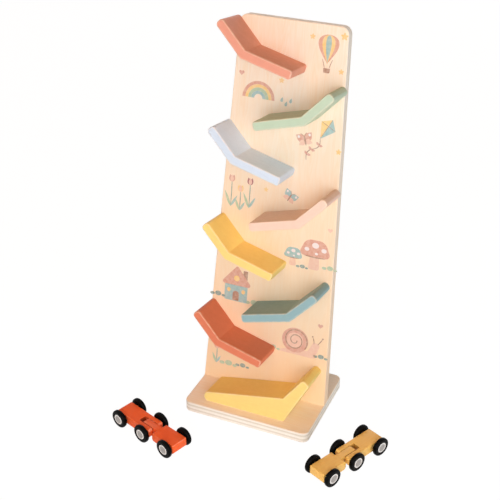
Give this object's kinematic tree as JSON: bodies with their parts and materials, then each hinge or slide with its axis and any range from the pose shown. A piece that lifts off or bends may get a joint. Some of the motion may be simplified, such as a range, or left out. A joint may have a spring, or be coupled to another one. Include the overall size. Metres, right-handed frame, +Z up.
{
  "type": "click clack track toy",
  "caption": "Leaning wooden tower whose bent ramps alternate from side to side above a foot ramp, with jointed wooden cars that stand beside it.",
  "frame": {"origin": "centre of the underside of the base plate, on the surface that the toy stands on", "axes": "+Z up, +Y towards the back of the tower, which the board leans to, +X to the right of someone facing the ramps"},
  "size_m": [0.3018, 0.228, 0.4418],
  "materials": {
    "base_wood": "clear satin lacquer on birch plywood",
    "board_wood": "clear satin lacquer on pale plywood, printed front",
    "coral_paint": "matt coral paint on wood",
    "sage_paint": "matt sage green paint on wood",
    "sky_paint": "matt pale blue paint on wood",
    "blush_paint": "matt blush paint on wood",
    "yellow_paint": "matt warm yellow paint on wood",
    "teal_paint": "matt grey teal paint on wood",
    "terracotta_paint": "matt terracotta paint on wood",
    "red_paint": "satin orange red paint on wood",
    "natural_wood": "clear lacquer on beech",
    "tyre_black": "glossy black rubber",
    "hub_grey": "pale silver grey plastic",
    "axle_steel": "bright drawn steel rod",
    "screw_steel": "zinc plated wood screws"
  },
  "bodies": {
    "tower": {"base_plate": "base_wood", "upright_board": "board_wood", "ramp_1_coral": "coral_paint", "ramp_2_sage": "sage_paint", "ramp_3_sky": "sky_paint", "ramp_4_blush": "blush_paint", "ramp_5_yellow": "yellow_paint", "ramp_6_teal": "teal_paint", "ramp_7_terracotta": "terracotta_paint", "foot_ramp": "yellow_paint", "ramp_screws": "screw_steel", "base_screws": "screw_steel"},
    "red_car_fork": {"red_car_fork_block": "red_paint"},
    "red_car_tongue": {"red_car_tongue_block": "red_paint"},
    "red_car_rear_wheels": {"red_car_rear_axle": "axle_steel", "red_car_rear_left_hub": "hub_grey", "red_car_rear_left_tyre": "tyre_black", "red_car_rear_right_hub": "hub_grey", "red_car_rear_right_tyre": "tyre_black"},
    "red_car_middle_wheels": {"red_car_middle_axle": "axle_steel", "red_car_middle_left_hub": "hub_grey", "red_car_middle_left_tyre": "tyre_black", "red_car_middle_right_hub": "hub_grey", "red_car_middle_right_tyre": "tyre_black"},
    "red_car_front_wheels": {"red_car_front_axle": "axle_steel", "red_car_front_left_hub": "hub_grey", "red_car_front_left_tyre": "tyre_black", "red_car_front_right_hub": "hub_grey", "red_car_front_right_tyre": "tyre_black"},
    "natural_car_fork": {"natural_car_fork_block": "natural_wood"},
    "natural_car_tongue": {"natural_car_tongue_block": "natural_wood"},
    "natural_car_rear_wheels": {"natural_car_rear_axle": "axle_steel", "natural_car_rear_left_hub": "hub_grey", "natural_car_rear_left_tyre": "tyre_black", "natural_car_rear_right_hub": "hub_grey", "natural_car_rear_right_tyre": "tyre_black"},
    "natural_car_middle_wheels": {"natural_car_middle_axle": "axle_steel", "natural_car_middle_left_hub": "hub_grey", "natural_car_middle_left_tyre": "tyre_black", "natural_car_middle_right_hub": "hub_grey", "natural_car_middle_right_tyre": "tyre_black"},
    "natural_car_front_wheels": {"natural_car_front_axle": "axle_steel", "natural_car_front_left_hub": "hub_grey", "natural_car_front_left_tyre": "tyre_black", "natural_car_front_right_hub": "hub_grey", "natural_car_front_right_tyre": "tyre_black"}
  },
  "joints": [
    {"name": "red_car_roll", "type": "slide", "parent": "tower", "child": "red_car_fork", "axis": [0.9403, -0.3404, 0], "range_m": [-0.08, 0.08]},
    {"name": "red_car_bend", "type": "hinge", "parent": "red_car_fork", "child": "red_car_tongue", "pos_m": [-0.0894, -0.113, 0.0107], "axis": [-0.3404, -0.9403, 0], "range_deg": [-75, 75]},
    {"name": "red_car_rear_wheel_spin", "type": "hinge", "parent": "red_car_fork", "child": "red_car_rear_wheels", "pos_m": [-0.12447, -0.1003, 0.0107], "axis": [0.3404, 0.9403, 0], "continuous": true},
    {"name": "red_car_middle_wheel_spin", "type": "hinge", "parent": "red_car_fork", "child": "red_car_middle_wheels", "pos_m": [-0.0894, -0.113, 0.0107], "axis": [0.3404, 0.9403, 0], "continuous": true},
    {"name": "red_car_front_wheel_spin", "type": "hinge", "parent": "red_car_tongue", "child": "red_car_front_wheels", "pos_m": [-0.05433, -0.1257, 0.0107], "axis": [0.3404, 0.9403, 0], "continuous": true},
    {"name": "natural_car_roll", "type": "slide", "parent": "tower", "child": "natural_car_fork", "axis": [-0.4226, -0.9063, 0], "range_m": [-0.08, 0.08]},
    {"name": "natural_car_bend", "type": "hinge", "parent": "natural_car_fork", "child": "natural_car_tongue", "pos_m": [0.1266, -0.0691, 0.0107], "axis": [-0.9063, 0.4226, 0], "range_deg": [-75, 75]},
    {"name": "natural_car_rear_wheel_spin", "type": "hinge", "parent": "natural_car_fork", "child": "natural_car_rear_wheels", "pos_m": [0.14236, -0.03529, 0.0107], "axis": [0.9063, -0.4226, 0], "continuous": true},
    {"name": "natural_car_middle_wheel_spin", "type": "hinge", "parent": "natural_car_fork", "child": "natural_car_middle_wheels", "pos_m": [0.1266, -0.0691, 0.0107], "axis": [0.9063, -0.4226, 0], "continuous": true},
    {"name": "natural_car_front_wheel_spin", "type": "hinge", "parent": "natural_car_tongue", "child": "natural_car_front_wheels", "pos_m": [0.11084, -0.1029, 0.0107], "axis": [0.9063, -0.4226, 0], "continuous": true}
  ],
  "couplings": [
    {"joint": "red_car_rear_wheel_spin", "follows": "red_car_roll", "rad_per_m": 93.458},
    {"joint": "red_car_middle_wheel_spin", "follows": "red_car_roll", "rad_per_m": 93.458},
    {"joint": "red_car_front_wheel_spin", "follows": "red_car_roll", "rad_per_m": 93.458},
    {"joint": "natural_car_rear_wheel_spin", "follows": "natural_car_roll", "rad_per_m": 93.458},
    {"joint": "natural_car_middle_wheel_spin", "follows": "natural_car_roll", "rad_per_m": 93.458},
    {"joint": "natural_car_front_wheel_spin", "follows": "natural_car_roll", "rad_per_m": 93.458}
  ]
}
